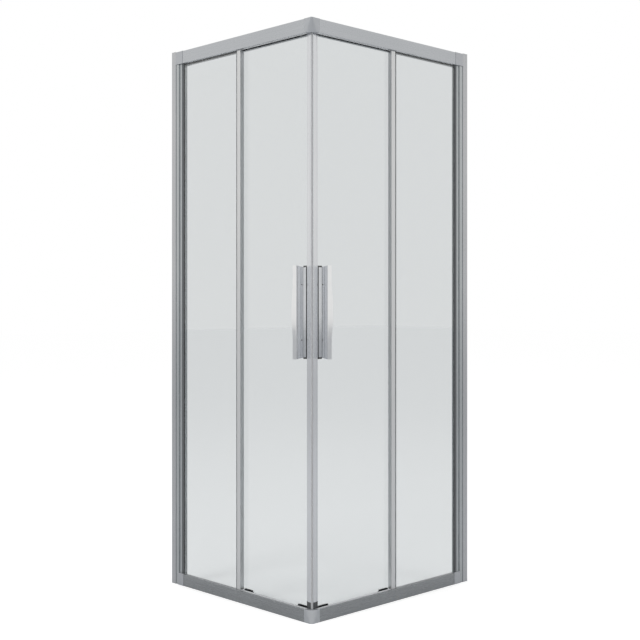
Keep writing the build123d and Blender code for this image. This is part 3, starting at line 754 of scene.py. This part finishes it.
def rib_tree():
    """A row of low bars round a point, across the direction that they are spaced in."""
    tree = ShapeTree("button_ribs")
    for name in ("Run X", "Run Y", "Bar X", "Bar Y"):
        tree.size(name)
    step = tree.vector(tree.input("Run X"), tree.input("Run Y"))
    back = -(RIB_COUNT - 1) / 2
    first = tree.vector(tree.input("Run X") * back, tree.input("Run Y") * back)
    line = {"Count": RIB_COUNT, "Start Location": first, "Offset": step}
    row = tree.add("GeometryNodeMeshLine", None, line)
    bar_size = tree.vector(tree.input("Bar X"), tree.input("Bar Y"), RIB_HEIGHT * 2)
    bar = tree.add("GeometryNodeMeshCube", None, {"Size": bar_size}, "Mesh")
    copies = "GeometryNodeInstanceOnPoints"
    ribs = tree.add(copies, None, {"Points": row, "Instance": bar})
    sets = tree.add(copies, None, {"Points": tree.input("Geometry"), "Instance": ribs})
    return tree.end(sets, DARK_PLASTIC)


def rib_button(node):
    """Ribs one button, whose box gives the place and the side."""
    low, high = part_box(node)
    across = BUTTON_DEPTH - 2 * RIB_MARGIN
    if node.startswith("right"):
        centre = ((low.x + high.x) / 2, low.y + BUTTON_DEPTH / 2, high.z)
        sizes = {"Run X": RIB_PITCH, "Run Y": 0.0, "Bar X": RIB_WIDTH, "Bar Y": across}
    else:
        centre = (low.x + BUTTON_DEPTH / 2, (low.y + high.y) / 2, high.z)
        sizes = {"Run X": 0.0, "Run Y": RIB_PITCH, "Bar X": across, "Bar Y": RIB_WIDTH}
    grown(RIBS, f"{node}_ribs", [centre], BODY_OF[node], sizes)


RIBS = rib_tree()
for side in SIDES:
    for place in ("front", "rear"):
        rib_button(f"{side}_{place}_release")
print("ribs:", RIB_COUNT, "on each of", len(SIDES) * 2, "buttons")

# %% [markdown]
# The studio is a pale floor, a pale world, and two large soft lamps. The floor and the world look white to
# the camera and through glass, while the light that they throw stays plain. Metal shows what stands round
# it, so the world is a little warm in gloss and the floor a little cool, and the lamps themselves stay out
# of it: a satin section that mirrors a lamp turns white and loses its grain.

# %% Studio
FLOOR_SIZE = 60.0
FLOOR_GAP = 0.2 * MM
FLOOR_SHADE = 0.72
FLOOR_LIFT = 0.55
FLOOR_LIFT_IN_GLOSS = 0.12
AMBIENT = 0.62
WARM_WHITE = (1.0, 0.985, 0.955, 1.0)
PLAIN_WHITE = (1.0, 1.0, 1.0, 1.0)
COOL_WHITE = (0.94, 0.98, 1.0, 1.0)
LAMP_TARGET = (0.2, 0.2, 0.9)


def ray_kinds(tree):
    """1 for rays from the camera or through glass, then 1 for rays off gloss alone."""
    path = "ShaderNodeLightPath"
    camera = add_node(tree, path, output="Is Camera Ray")
    through = add_node(tree, path, output="Is Transmission Ray")
    glossy = add_node(tree, path, output="Is Glossy Ray")
    straight = (camera + through).clamp()
    return straight, (glossy - straight).clamp()


def tinted(tree, gloss, gloss_colour):
    """Plain white, or another white for rays off gloss."""
    sockets = {"Factor_Float": gloss, "A_Color": PLAIN_WHITE, "B_Color": gloss_colour}
    return add_node(tree, "ShaderNodeMix", {"data_type": "RGBA"}, sockets, "Result_Color")


def make_floor():
    """A pale floor that keeps the shadow and is lifted to white where it is seen."""
    mesh = bpy.data.meshes.new("studio_floor")
    half = FLOOR_SIZE / 2
    level = built_low.z - FLOOR_GAP
    corners = [(-half, -half, level), (half, -half, level), (half, half, level), (-half, half, level)]
    mesh.from_pydata(corners, [], [(0, 1, 2, 3)])
    floor = bpy.data.objects.new("studio_floor", mesh)
    bpy.context.scene.collection.objects.link(floor)
    material = bpy.data.materials.new("studio_floor")
    material.use_nodes = True
    tree = material.node_tree
    tree.nodes.clear()
    shade = (FLOOR_SHADE, FLOOR_SHADE, FLOOR_SHADE, 1.0)
    matt = add_node(tree, "ShaderNodeBsdfDiffuse", None, {"Color": shade})
    straight, gloss = ray_kinds(tree)
    lift = straight * FLOOR_LIFT + gloss * FLOOR_LIFT_IN_GLOSS
    looks = {"Strength": lift, "Color": tinted(tree, gloss, COOL_WHITE)}
    glow = add_node(tree, "ShaderNodeEmission", None, looks)
    both = add_node(tree, "ShaderNodeAddShader", None, {0: matt, 1: glow})
    add_node(tree, "ShaderNodeOutputMaterial", None, {"Surface": both})
    mesh.materials.append(material)


def make_world():
    """White where it is seen, and a plain soft light elsewhere."""
    world = bpy.data.worlds.new("studio_world")
    bpy.context.scene.world = world
    world.use_nodes = True
    tree = world.node_tree
    tree.nodes.clear()
    straight, gloss = ray_kinds(tree)
    strength = (straight + gloss).clamp() * (1 - AMBIENT) + AMBIENT
    looks = {"Strength": strength, "Color": tinted(tree, gloss, WARM_WHITE)}
    sky = add_node(tree, "ShaderNodeBackground", None, looks)
    add_node(tree, "ShaderNodeOutputWorld", None, {"Surface": sky})


def softbox(name, place, size, power):
    """A large soft lamp that neither the camera nor any metal sees."""
    data = bpy.data.lights.new(name, "AREA")
    data.shape = "SQUARE"
    data.size, data.energy = size, power
    lamp = bpy.data.objects.new(name, data)
    lamp.location = place
    lamp.rotation_euler = (Vector(LAMP_TARGET) - Vector(place)).to_track_quat("-Z", "Y").to_euler()
    lamp.visible_camera = False
    lamp.visible_transmission = False
    lamp.visible_glossy = False
    bpy.context.scene.collection.objects.link(lamp)


make_floor()
make_world()
softbox("key_softbox", place=(-4.5, 0.5, 3.4), size=2.2, power=90)
softbox("fill_softbox", place=(1.5, -4.5, 2.6), size=2.0, power=45)
bpy.context.scene.view_settings.view_transform = "Standard"
print("floor", FLOOR_SHADE, "lifted by", FLOOR_LIFT, "ambient", AMBIENT)

# %% [markdown]
# Last, the size of the construction is printed once more.

# %% Sizes, and the end
print("construction", [round(v, 4) for v in built_high - built_low])
